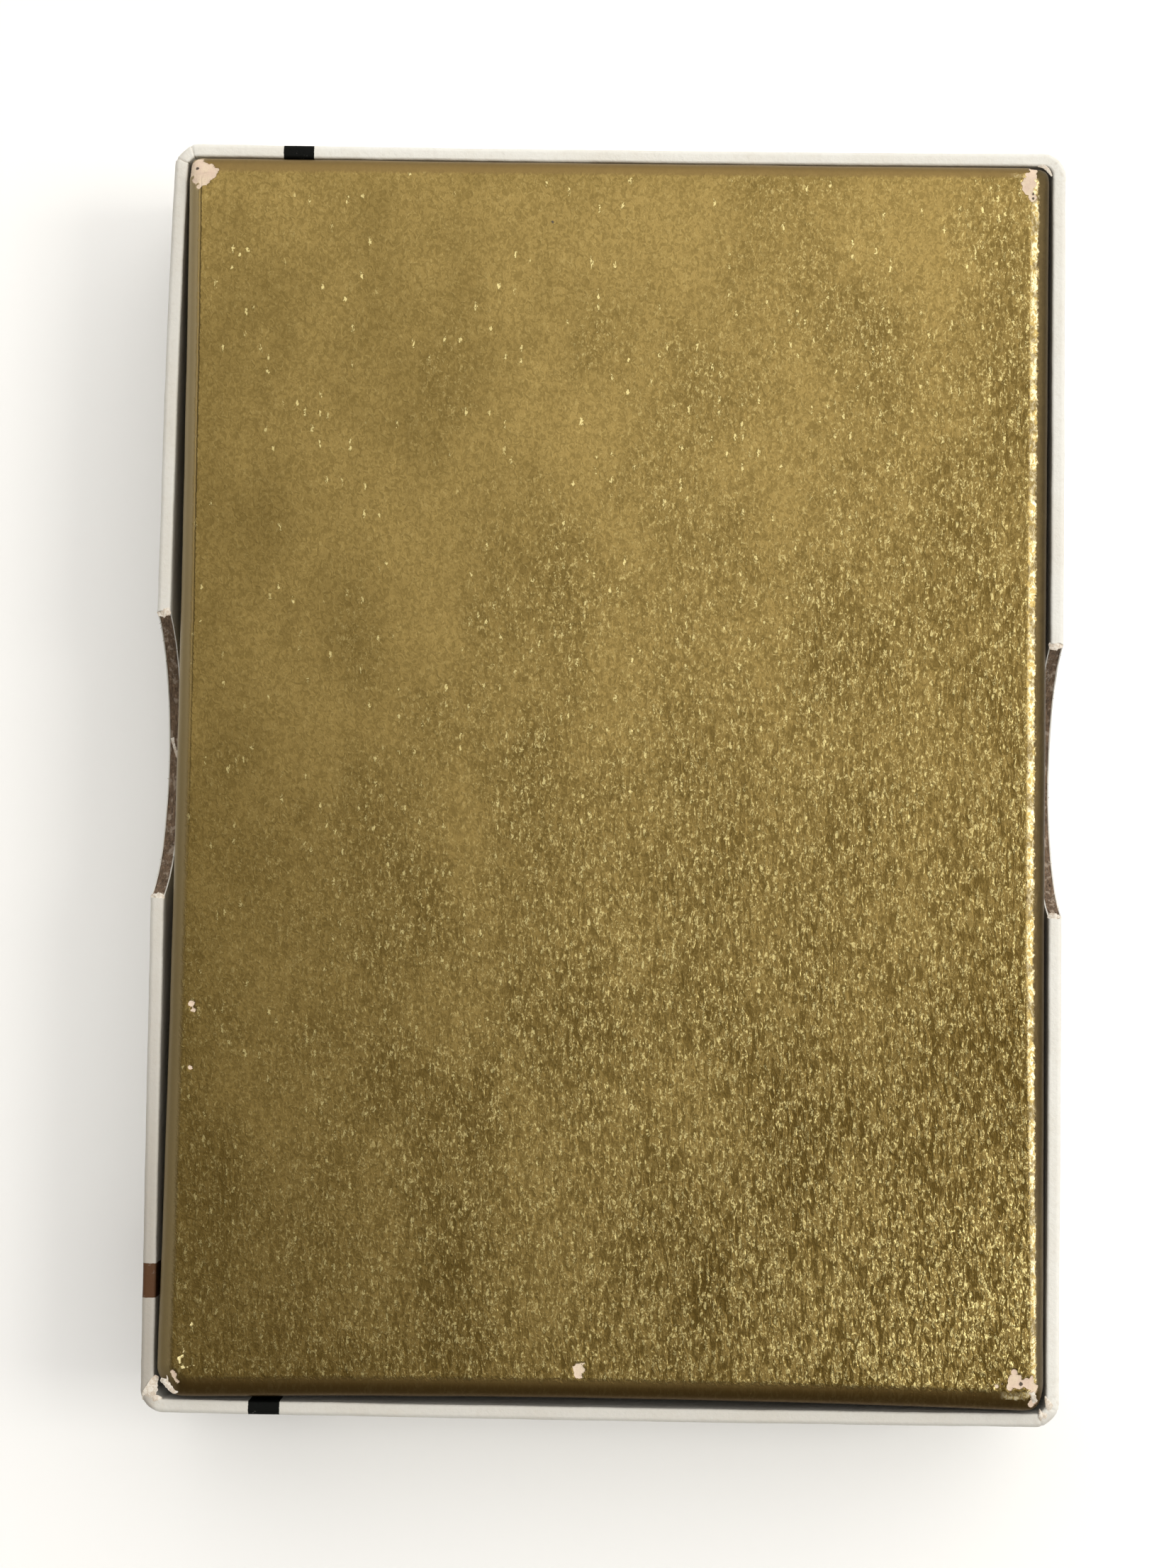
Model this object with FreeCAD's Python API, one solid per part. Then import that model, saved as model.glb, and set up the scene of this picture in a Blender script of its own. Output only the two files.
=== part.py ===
"""Two-piece covered card box: a deep lid that slips over a tray, both of paper-wrapped chipboard.

The lid lies on its panel with its open side up, and the tray stands in it upside down, so that the
tray's base is uppermost. The origin is on the lid's panel, in the middle of its outer face. X runs
across the box, Y along it and Z up. Lengths are in millimetres.

Each half is a scored board blank with its corner squares cut out, four paper stays that hold the
corners, and one sheet of cover paper that folds over the rim and down the inside of the walls.
"""

import FreeCAD, Part
import os

# The deck that the tray holds
card_width = 63.5
card_length = 88.9
deck_height = 16.2

# Room round the deck
side_play = 0.67
end_play = 1.92
depth_play = 1.4

# Sheet stock
board = 0.85
paper = 0.12
stay_paper = 0.08

# How the two halves fit
slip_gap = 0.2
rest_gap = 0.02
base_reveal = 1.15

# Folds, corners and rims, measured on the outside of the cover paper
fold_radius = 1.05
corner_radius = 1.8
rim_round = 0.4
inside_corner_radius = 0.5
corner_slit = 0.05
turn_in = 12.5

# Corner stays: how far each reaches along its two walls, and how far it stops short of fold and rim
stay_reach = 10.0
stay_margin = 1.2

# Thumb notches, punched through the lid's long walls
notch_radius = {"left": 11.9, "right": 11.15}
notch_depth = 7.5
notch_shift = {"left": 1.25, "right": 0.2}

# The halves' outer sizes follow from the deck upwards
wall = paper + board + paper
panel = paper + board
tray_width = card_width + 2 * side_play + 2 * wall
tray_length = card_length + 2 * end_play + 2 * wall
tray_height = deck_height + depth_play + panel
tray_rim_z = panel + rest_gap
tray_base_z = tray_rim_z + tray_height
lid_width = tray_width + 2 * slip_gap + 2 * wall
lid_length = tray_length + 2 * slip_gap + 2 * wall
lid_height = tray_base_z - base_reveal

# Cutting tools run this far past what they cut
overrun = 5.0


def block(width, length, z_low, z_high):
    """A plain box centred on the Z axis."""
    corner = FreeCAD.Vector(-width / 2, -length / 2, z_low)
    return Part.makeBox(width, length, z_high - z_low, corner)


def edges_where(shape, test):
    """The edges whose middle point passes the test."""
    return [e for e in shape.Edges if test(e.valueAt((e.FirstParameter + e.LastParameter) / 2), e)]


def is_upright(edge):
    """Whether an edge runs along Z."""
    ends = [v.Point for v in edge.Vertexes]
    return len(ends) == 2 and abs(ends[0].z - ends[1].z) > 0.9 * edge.Length


def round_uprights(shape, radius):
    """The shape with its vertical edges rounded."""
    return shape.makeFillet(radius, edges_where(shape, lambda middle, edge: is_upright(edge)))


def round_level(shape, height, radius):
    """The shape with every edge that lies level at the given height rounded."""
    def level(middle, edge):
        return abs(middle.z - height) < 1e-4 and not is_upright(edge)
    return shape.makeFillet(radius, edges_where(shape, level))


def envelope(width, length, height, inset):
    """The outside of a half, moved inwards by the inset: upright corners and panel folds rounded."""
    shape = block(width - 2 * inset, length - 2 * inset, inset, height - inset)
    shape = round_uprights(shape, corner_radius - inset)
    return round_level(shape, inset, fold_radius - inset)


def corner_columns(width, length, height):
    """The four square columns that the blank's cut corners leave empty, a slit wider than the board."""
    side = board + corner_slit
    shapes = []
    for x_sign in (-1, 1):
        for y_sign in (-1, 1):
            x = x_sign * (width / 2 - paper)
            y = y_sign * (length / 2 - paper)
            low = FreeCAD.Vector(min(x, x - x_sign * side), min(y, y - y_sign * side), panel)
            shapes.append(Part.makeBox(side, side, height - panel, low))
    return Part.makeCompound(shapes)


def corner_stays(width, length, height):
    """Four paper angles, each let into the board round one upright corner, as (name, solid) pairs."""
    skin = envelope(width, length, height, paper).cut(envelope(width, length, height, paper + stay_paper))
    low = fold_radius + stay_margin
    high = height - paper - rim_round - stay_margin
    stays = []
    for x_name, x_sign in (("left", -1), ("right", 1)):
        for y_name, y_sign in (("near", -1), ("far", 1)):
            x = x_sign * width / 2
            y = y_sign * length / 2
            zone_low = FreeCAD.Vector(min(x, x - x_sign * stay_reach), min(y, y - y_sign * stay_reach), low)
            zone = Part.makeBox(stay_reach, stay_reach, high - low, zone_low)
            stays.append((x_name + "_" + y_name, skin.common(zone).Solids[0]))
    return stays


def board_blank(width, length, height, stays):
    """The folded board: a panel and four walls that don't meet at the corners."""
    shape = envelope(width, length, height, paper)
    shape = shape.cut(block(width - 2 * panel, length - 2 * panel, panel, height + overrun))
    shape = shape.cut(corner_columns(width, length, height))
    shape = round_level(shape, height - paper, rim_round - paper)
    for name, stay in stays:
        shape = shape.cut(stay)
    return shape


def cover_paper(width, length, height, blank, stays):
    """The cover sheet: outside, over the rim and down the inside by the turn-in."""
    shape = envelope(width, length, height, 0)
    # the envelope's top already stands at the rim, so only the hollow is still to be cut
    hollow = block(width - 2 * wall, length - 2 * wall, panel, height + overrun)
    shape = shape.cut(round_uprights(hollow, inside_corner_radius))
    shape = round_level(shape, height, rim_round)
    shape = shape.cut(block(width - 2 * panel, length - 2 * panel, panel, height - turn_in))
    shape = shape.cut(blank)
    for name, stay in stays:
        shape = shape.cut(stay)
    # bunched paper fills the top of each corner column
    columns = corner_columns(width, length, height - paper - rim_round / 2)
    inner = envelope(width, length, height, paper)
    return shape.cut(columns.common(inner))


def half(width, length, height):
    """A whole half with its open side up, as a dictionary of named solids."""
    stays = corner_stays(width, length, height)
    blank = board_blank(width, length, height, stays)
    pieces = {"board": blank, "wrap": cover_paper(width, length, height, blank, stays)}
    for name, stay in stays:
        pieces["corner_stay_" + name] = stay
    return pieces


def thumb_notches():
    """The two punches that cut the notches in the lid's long walls."""
    reach = lid_width / 2 + overrun
    shapes = []
    for side, sign in (("left", -1), ("right", 1)):
        radius = notch_radius[side]
        start = FreeCAD.Vector(0, notch_shift[side], lid_height - notch_depth + radius)
        shapes.append(Part.makeCylinder(radius, reach, start, FreeCAD.Vector(sign, 0, 0)))
    return Part.makeCompound(shapes)


def make_lid():
    """The lid's pieces, with the thumb notches punched through board and paper together."""
    pieces = half(lid_width, lid_length, lid_height)
    punches = thumb_notches()
    for name in ("board", "wrap"):
        pieces[name] = pieces[name].cut(punches)
    return pieces


def make_tray():
    """The tray's pieces, upside down, with their rim on the inside of the lid's panel."""
    pieces = half(tray_width, tray_length, tray_height)
    middle = FreeCAD.Vector(0, 0, tray_base_z / 2)
    return {name: shape.mirror(middle, FreeCAD.Vector(0, 0, 1)) for name, shape in pieces.items()}


def single_solid(shape):
    """The one solid of a shape that was cut, with split faces joined again."""
    if len(shape.Solids) != 1:
        raise ValueError("a piece fell into %d solids" % len(shape.Solids))
    return shape.Solids[0].removeSplitter()


os.makedirs("parts", exist_ok=True)
for body, pieces in (("lid", make_lid()), ("tray", make_tray())):
    for name, shape in pieces.items():
        single_solid(shape).exportStep("parts/" + body + "_" + name + ".step")
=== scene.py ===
"""A covered two-piece card box, lying lid down, with its gold tray standing upside down in the lid.

Shapes are worked out in millimetres and handed to Blender in metres. X runs across the box, Y along it
and Z up, as in the frame. "Near" is -Y, "far" is +Y, "left" is -X and "right" is +X.
"""

import math

import bmesh
import bpy
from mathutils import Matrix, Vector, noise


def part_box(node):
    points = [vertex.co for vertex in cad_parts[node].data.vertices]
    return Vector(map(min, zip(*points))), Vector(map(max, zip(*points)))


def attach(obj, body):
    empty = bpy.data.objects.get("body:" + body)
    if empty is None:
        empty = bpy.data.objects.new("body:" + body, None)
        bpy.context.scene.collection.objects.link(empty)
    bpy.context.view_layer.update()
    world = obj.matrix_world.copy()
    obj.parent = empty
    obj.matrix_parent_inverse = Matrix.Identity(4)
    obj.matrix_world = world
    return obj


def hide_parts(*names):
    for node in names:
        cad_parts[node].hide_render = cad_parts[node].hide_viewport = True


bl_info = {
    "name": "Card box",
    "version": (1, 0, 0),
    "blender": (4, 5, 0),
    "location": "3D View > Sidebar > Card box",
    "description": "Builds a covered card box: paper wraps, board, stays, notches and wear",
    "category": "Object",
}

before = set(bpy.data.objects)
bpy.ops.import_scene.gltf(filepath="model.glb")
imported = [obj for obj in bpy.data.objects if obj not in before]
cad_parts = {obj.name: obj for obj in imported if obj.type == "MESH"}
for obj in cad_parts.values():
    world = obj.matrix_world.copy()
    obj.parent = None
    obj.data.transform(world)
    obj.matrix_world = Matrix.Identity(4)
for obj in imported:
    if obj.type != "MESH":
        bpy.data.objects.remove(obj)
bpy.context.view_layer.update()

MM = 0.001


# ---------------------------------------------------------------- settings

def millimetres(name, default, description):
    """A length property, shown in millimetres of the maker's drawing."""
    return bpy.props.FloatProperty(name=name, default=default, description=description, precision=3)


def colour(name, default, description):
    """A colour property without alpha."""
    return bpy.props.FloatVectorProperty(
        name=name, subtype="COLOR", size=3, min=0, max=1, default=default, description=description)


class CardBoxSheets(bpy.types.PropertyGroup):
    """Sheet stock and folds that both halves share."""
    paper: millimetres("Cover paper", 0.12, "Thickness of the cover paper, in mm")
    board: millimetres("Board", 0.85, "Thickness of the chipboard, in mm")
    corner: millimetres("Corner radius", 1.8, "Radius of the upright corners, in mm")
    fold: millimetres("Fold radius", 1.05, "Radius of the fold round the panel, in mm")
    rim: millimetres("Rim radius", 0.4, "Rounding of the rim, in mm")
    turn_in: millimetres("Turn-in", 12.5, "How far the paper runs down the inside, in mm")
    worn_depth: millimetres("Worn depth", 0.06, "How deep the paper is worn away, in mm")


class CardBoxNotch(bpy.types.PropertyGroup):
    """The two punched thumb notches."""
    left_radius: millimetres("Left radius", 11.9, "Radius of the left notch's punch, in mm")
    right_radius: millimetres("Right radius", 11.15, "Radius of the right notch's punch, in mm")
    depth: millimetres("Depth", 7.5, "Depth of the notches below the rim, in mm")
    left: millimetres("Left place", 1.25, "How far beyond the middle the left notch stands, in mm")
    right: millimetres("Right place", 0.2, "How far beyond the middle the right notch stands, in mm")
    rough: millimetres("Roughness", 0.06, "How ragged the cut edge is, in mm")
    fibres: bpy.props.IntProperty(
        name="Fibres", default=12, min=0, description="Loose fibres for each square mm of cut edge")

    def side(self, sign):
        """The punch radius and place of the left or right notch."""
        return (self.left_radius, self.left) if sign < 0 else (self.right_radius, self.right)


class CardBoxFinish(bpy.types.PropertyGroup):
    """Colours of the papers, the inks and the board."""
    gold: colour("Gold", (0.325, 0.231, 0.076), "Gold cover paper")
    gold_dark: colour("Gold, hollows", (0.098, 0.064, 0.014), "Gold paper between its fibres")
    # painted highlight: the colour that glinting fibres are painted, on top of the paper's own flecks
    gold_light: colour("Gold, flecks", (0.86, 0.73, 0.33), "Fibres that stand proud and shine")
    bare: colour("Bare paper", (0.72, 0.56, 0.44), "Cover paper worn down to its core")
    white: colour("White", (0.79, 0.78, 0.735), "White cover paper")
    grime: colour("Grime", (0.52, 0.45, 0.36), "Dirt on the white paper")
    black: colour("Black ink", (0.004, 0.0045, 0.004), "Printed black line")
    brown: colour("Brown ink", (0.10, 0.048, 0.024), "Printed brown line")
    board: colour("Board", (0.225, 0.150, 0.095), "Grey-brown chipboard")
    stay: colour("Stay paper", (0.42, 0.29, 0.17), "Gummed paper of the corner stays")


class CardBoxStage(bpy.types.PropertyGroup):
    """Floor, lights and camera."""
    floor: colour("Floor", (1.0, 1.0, 1.0), "Colour of the floor")
    key: bpy.props.FloatProperty(
        name="Key", default=1.3, description="Power of the key light, in W", subtype="POWER")
    air: bpy.props.FloatProperty(name="Air", default=1.75, description="Brightness of the surroundings")
    lens: bpy.props.FloatProperty(name="Lens", default=65.1, description="Focal length, in mm", unit="CAMERA")


# ---------------------------------------------------------------- shapes

class Half:
    """One half of the box, open side away from its panel, with its outer size in millimetres."""

    def __init__(self, body, sheets):
        low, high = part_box(body + "_wrap")
        self.body = body
        self.sheets = sheets
        self.half_width = (high.x - low.x) / 2 / MM
        self.half_length = (high.y - low.y) / 2 / MM
        self.height = (high.z - low.z) / MM
        self.low = low.z / MM
        self.high = high.z / MM
        self.wall = sheets.board + 2 * sheets.paper

    def z_at(self, depth):
        """The height of a point at the given depth behind the panel's outer face."""
        return self.low + depth if self.body == "lid" else self.high - depth

    def near_rim(self, depth):
        """1 at the rim, where the corners are creased, and 0 from the stays inwards."""
        return smooth((depth - self.height + 1.6) / 1.1)

    def settle(self, point):
        """Where a point of the true box has gone: bowed walls, racked tray, slack folds, crushed corner."""
        across = max(-1.0, min(1.0, point.x / self.half_width))
        along = max(-1.0, min(1.0, point.y / self.half_length))
        top = max(0.0, (point.z - self.low) / self.height)
        if self.body == "lid":
            lift = top ** 1.2
            left = (0.12 * along ** 2 + 0.53 * max(0.0, along) ** 3) * lift
            right = 0.03 * along ** 2 * lift
            near = 0.08 * across ** 2 * lift
            far = 0.10 * (1 - across ** 2) * lift
        else:
            left = 0.30 + 0.20 * along + 0.26 * (1 - along ** 2)
            right = 0.03 + 0.04 * along + 0.10 * (1 - along ** 2)
            near = 0.05 + 0.42 * (1 - across ** 2)
            far = 0.03 * (1 - across ** 2)
        to_right = (across + 1) / 2
        to_far = (along + 1) / 2
        shift = Vector((left * (1 - to_right) - right * to_right, near * (1 - to_far) - far * to_far, 0))
        wobble = sway(point * 0.16 + Vector((7.1, 3.3, self.low))) * 0.03
        wobble += sway(point * 0.7 + Vector((1.7, 9.4, self.low))) * 0.012
        shift += Vector((wobble.x - 0.015 * across, wobble.y - 0.015 * along, abs(wobble.z) * (1 - 2 * top)))
        if self.body == "tray":
            shift += self.slack_folds(point, to_right, to_far, top)
            crushed = max(0.0, 1 - math.hypot(point.x + 33.0, point.y + 47.2) / 1.7)
            shift.z -= 0.55 * crushed ** 1.5 * top ** 6
        return self.kept_in(point + shift)

    def slack_folds(self, point, to_right, to_far, top):
        """How far the edge of the tray's panel lies inwards, because its folds are slack, wide rolls."""
        reach = min(1.0, max(0.0, (top - 0.90) / 0.04))
        widths = (
            (-1, point.x, self.half_width, 0.26 - 0.24 * to_far),
            (1, point.x, self.half_width, 0.16 + 0.46 * smooth((to_far - 0.02) / 0.4)),
            (-1, point.y, self.half_length, 0.62),
            (1, point.y, self.half_length, 0.36 - 0.30 * to_right))
        moves = []
        for sign, place, half_side, width in widths:
            inset = half_side - sign * place
            share = smooth(inset / self.sheets.fold) * (1 - smooth((inset - self.sheets.fold) / 7.0))
            moves.append(-sign * width * share * reach)
        return Vector((moves[0] + moves[1], moves[2] + moves[3], 0))

    def kept_in(self, point):
        """The point, moved back to the half's true outer faces if it has gone beyond them."""
        return Vector((
            max(-self.half_width, min(self.half_width, point.x)),
            max(-self.half_length, min(self.half_length, point.y)),
            max(self.low, min(self.high, point.z))))


def sway(place):
    """Three even noises at a place, as a direction."""
    return Vector([noise.noise(place + Vector((off, 2 * off, 3 * off))) for off in (0.0, 31.7, 64.3)])


def smooth(t):
    """An even rise from 0 at 0 to 1 at 1."""
    t = max(0.0, min(1.0, t))
    return t * t * (3 - 2 * t)


def spread(start, end, step):
    """Evenly spaced numbers from start up to but not including end, about a step apart."""
    count = max(1, round(abs(end - start) / step))
    return [start + (end - start) * i / count for i in range(count)]


def side_marks(half_side, fine_reach, fine, coarse, spots):
    """Places along one straight side, close together near its ends and round each spot."""
    marks = spread(-half_side, -half_side + fine_reach, fine)
    here = -half_side + fine_reach
    for low, high in sorted(spots):
        marks += spread(here, low, coarse)
        marks += spread(low, high, fine)
        here = high
    marks += spread(here, half_side - fine_reach, coarse)
    marks += spread(half_side - fine_reach, half_side, fine)
    return marks


def corner_index(x, y):
    """0 to 3 for the corner on that side of the middle: near left, near right, far left, far right."""
    return (1 if x > 0 else 0) + (2 if y > 0 else 0)


class Outline:
    """The rounded outline of a half as a closed row of marks that can be moved inwards."""

    def __init__(self, half, fine_reach, fine, coarse, corner_steps, spots_x=(), spots_y=()):
        self.half = half
        self.radius = half.sheets.corner
        self.a = half.half_width - self.radius
        self.b = half.half_length - self.radius
        along_x = side_marks(self.a, fine_reach, fine, coarse, spots_x)
        along_y = side_marks(self.b, fine_reach, fine, coarse, spots_y)
        self.marks = []
        turns = [90 * i / corner_steps for i in range(corner_steps)]
        sides = (
            (along_x, lambda t: (t, -self.b), -90, (self.a, -self.b)),
            (along_y, lambda t: (self.a, t), 0, (self.a, self.b)),
            (along_x, lambda t: (-t, self.b), 90, (-self.a, self.b)),
            (along_y, lambda t: (-self.a, -t), 180, (-self.a, -self.b)),
        )
        for places, centre_at, heading, corner in sides:
            for t in places:
                self.marks.append((centre_at(t), heading, None))
            for turn in turns:
                self.marks.append((corner, heading + turn, turn))

    def spot(self, mark, inset, depth):
        """The point of a mark at the given inset from the outer face and depth behind the panel."""
        (cx, cy), heading, turn = mark
        if inset > self.radius:
            return cx * (self.half.half_width - inset) / self.a, cy * (self.half.half_length - inset) / self.b
        reach = self.radius - inset
        if turn is not None and self.half.body == "tray":
            power = SQUARENESS[corner_index(cx, cy)]
            angle = math.radians(turn)
            reach *= (math.cos(angle) ** power + math.sin(angle) ** power) ** (-1 / power)
        elif turn is not None and abs(turn - 45) < 25:
            flat = FLATTENED * CREASES[corner_index(cx, cy)][2] * self.half.near_rim(depth)
            reach *= 1 - flat + flat * math.cos(math.radians(25)) / math.cos(math.radians(turn - 45))
        angle = math.radians(heading)
        return cx + reach * math.cos(angle), cy + reach * math.sin(angle)


def wrap_section(half, panel_insets, fold_steps, wall_step, rim_steps, inner_rim):
    """The section through a half's cover paper, from the panel's middle and back, as (inset, depth)."""
    s = half.sheets
    rows = [(inset, 0.0) for inset in panel_insets]
    quarter = [math.pi / 2 * i / fold_steps for i in range(fold_steps + 1)]
    rows += [(s.fold - s.fold * math.sin(a), s.fold - s.fold * math.cos(a)) for a in quarter]
    rows += [(0.0, depth) for depth in spread(s.fold, half.height - s.rim, wall_step)[1:]]
    turn = [math.pi / 2 * i / rim_steps for i in range(rim_steps + 1)]
    crown = half.height - s.rim
    brow = half.height - inner_rim
    rows += [(s.rim - s.rim * math.cos(b), crown + s.rim * math.sin(b)) for b in turn]
    rows += [(half.wall - inner_rim + inner_rim * math.sin(b), brow + inner_rim * math.cos(b)) for b in turn]
    end = half.height - s.turn_in
    rows += [(half.wall, depth) for depth in spread(brow, end, wall_step)[1:]]
    rows.append((half.wall, end + 0.03))
    rows.append((half.wall - 0.03, end))
    outside = len(rows)
    inner = half.wall - s.paper
    thin = s.rim - s.paper
    small = max(0.02, inner_rim - s.paper)
    rows.append((inner, end))
    rows += [(inner, depth) for depth in spread(end, brow, 4.0)[1:]]
    half_turn = turn[::2]
    under = half.height - s.paper
    rows += [(inner - small + small * math.cos(b), under - small + small * math.sin(b)) for b in half_turn]
    rows += [(s.rim - thin * math.sin(b), crown + thin * math.cos(b)) for b in half_turn]
    rows += [(s.paper, depth) for depth in spread(crown, s.fold, 4.0)[1:]]
    inside = s.fold - s.paper
    rows += [(s.fold - inside * math.cos(a), s.fold - inside * math.sin(a)) for a in quarter[::2]]
    rows += [(inset, s.paper) for inset in reversed(panel_insets[::3])]
    if rows[-1][0] < half.half_width:
        rows.append((half.half_width, s.paper))
    return rows, outside


def ringed(rows, around):
    """The faces between rows of points that each go once round."""
    faces = []
    for row in range(rows - 1):
        for i in range(around):
            a = row * around + i
            b = row * around + (i + 1) % around
            faces.append((a, b, b + around, a + around))
    return faces


def outward(rows, index):
    """The direction, as (inset, depth), in which a section's surface faces at one of its points."""
    before = rows[max(0, index - 1)]
    after = rows[min(len(rows) - 1, index + 1)]
    run = (after[0] - before[0], after[1] - before[1])
    length = math.hypot(*run) or 1.0
    return -run[1] / length, run[0] / length


def weld(bm, reach):
    """Joins points that lie within the reach, in mm, and drops what has no size."""
    bmesh.ops.remove_doubles(bm, verts=bm.verts[:], dist=reach * MM)
    bmesh.ops.dissolve_degenerate(bm, edges=bm.edges[:], dist=reach * MM)


def closed_mesh(name, points, faces, values=None):
    """A mesh from points in millimetres, joined where they meet and turned to face outwards."""
    mesh = bpy.data.meshes.new(name)
    mesh.from_pydata([tuple(c * MM for c in p) for p in points], [], faces)
    for label, numbers in (values or {}).items():
        mesh.attributes.new(label, "FLOAT", "POINT").data.foreach_set("value", numbers)
    bm = bmesh.new()
    bm.from_mesh(mesh)
    weld(bm, 0.0002)
    bmesh.ops.recalc_face_normals(bm, faces=bm.faces[:])
    if bm.calc_volume(signed=True) < 0:
        bmesh.ops.reverse_faces(bm, faces=bm.faces[:])
    bm.to_mesh(mesh)
    bm.free()
    return mesh


def finished(name, mesh, materials, body, nodes=(), sharp=50):
    """The finished piece: shaded, painted, riding on its body and standing for its CAD nodes."""
    mesh.name = name
    mesh.polygons.foreach_set("use_smooth", [True] * len(mesh.polygons))
    mesh.set_sharp_from_angle(angle=math.radians(sharp))
    mesh.materials.clear()
    for material in materials:
        mesh.materials.append(material)
    piece = bpy.data.objects.new(name, mesh)
    bpy.context.scene.collection.objects.link(piece)
    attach(piece, body)
    if nodes:
        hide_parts(*nodes)
    return piece


def cut_away(mesh, cutters):
    """The mesh with each cutter's solid taken out of it."""
    piece = bpy.data.objects.new("being_cut", mesh)
    bpy.context.scene.collection.objects.link(piece)
    tools = []
    for cutter in cutters:
        tool = bpy.data.objects.new("cutter", cutter)
        bpy.context.scene.collection.objects.link(tool)
        tools.append(tool)
        cut = piece.modifiers.new("cut", "BOOLEAN")
        cut.operation = "DIFFERENCE"
        cut.solver = "EXACT"
        cut.object = tool
    graph = bpy.context.evaluated_depsgraph_get()
    result = bpy.data.meshes.new_from_object(piece.evaluated_get(graph), depsgraph=graph)
    for thing in tools + [piece]:
        bpy.data.objects.remove(thing)
    bm = bmesh.new()
    bm.from_mesh(result)
    weld(bm, 0.0005)
    bm.to_mesh(result)
    bm.free()
    return result


# ---------------------------------------------------------------- wear

# Worn places of the tray's panel, as (x, y, radius) in mm from the middle of the box
WORN_FAR_LEFT = (
    (-32.0, 46.3, 0.78), (-31.45, 46.1, 0.72), (-31.75, 45.7, 0.62), (-32.35, 46.75, 0.42),
    (-30.78, 46.28, 0.24), (-32.12, 44.98, 0.19), (-32.35, 45.5, 0.32), (-32.5, 46.6, 0.50),
    (-32.75, 46.2, 0.36), (-32.2, 47.0, 0.34))
WORN_FAR_RIGHT = (
    (31.65, 46.1, 0.50), (31.9, 46.6, 0.42), (31.62, 45.55, 0.42), (32.08, 47.1, 0.26),
    (32.1, 47.3, 0.36), (32.1, 47.6, 0.36), (31.98, 45.0, 0.30), (32.0, 44.72, 0.24), (31.95, 46.0, 0.34))
WORN_NEAR_RIGHT = (
    (31.25, -45.05, 0.56), (31.15, -44.4, 0.24), (31.6, -45.2, 0.36), (30.8, -45.42, 0.28),
    (32.2, -45.15, 0.44), (32.62, -45.5, 0.36), (32.55, -45.9, 0.22), (32.45, -44.75, 0.16),
    (32.62, -46.35, 0.20), (32.55, -46.85, 0.26), (32.85, -46.7, 0.2))
WORN_EDGES = (
    (-1.45, -44.62, 0.42), (-1.55, -45.1, 0.3), (-1.25, -44.3, 0.2), (-31.2, -17.75, 0.26),
    (-31.05, -18.2, 0.18), (-31.25, -22.6, 0.15), (-32.0, -45.42, 0.17), (-31.93, -45.65, 0.19),
    (-31.84, -45.9, 0.17), (-31.72, -46.12, 0.13), (7.36, 31.65, 0.14), (29.2, -45.4, 0.13),
    (29.9, -45.38, 0.16), (30.25, -45.25, 0.12))
SCRATCHES = (
    (-31.25, -43.65, 0.10), (-31.28, -43.85, 0.09), (-31.52, -44.36, 0.14), (-31.50, -44.62, 0.12),
    (-31.27, -44.2, 0.10), (-31.28, -45.0, 0.12), (-30.95, -45.02, 0.08), (-30.7, -44.98, 0.08),
    (-30.45, -44.88, 0.08), (-30.75, -41.9, 0.09), (-30.68, -41.75, 0.08), (29.4, -44.74, 0.09),
    (30.05, -44.9, 0.08), (-27.5, -40.9, 0.09))
WORN = WORN_FAR_LEFT + WORN_FAR_RIGHT + WORN_NEAR_RIGHT + WORN_EDGES
# Where the paper is creased round each corner, in degrees, and how hard. Corners are listed as near left,
# near right, far left, far right.
CREASES = ((22, 66, 0.15), (16, 72, 0.55), (20, 71, 1.0), (27, 63, 0.15))
FLATTENED = 0.62
# How square the tray's corners are, 2 being round, in the same order
SQUARENESS = (2.2, 3.2, 4.6, 4.6)
HOLES = (
    (-32.3, 46.49, 0.14), (32.02, 45.2, 0.13), (32.04, 44.83, 0.12), (31.66, -45.2, 0.17),
    (-4.86, 42.54, 0.13), (24.58, 13.62, 0.11))

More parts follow.
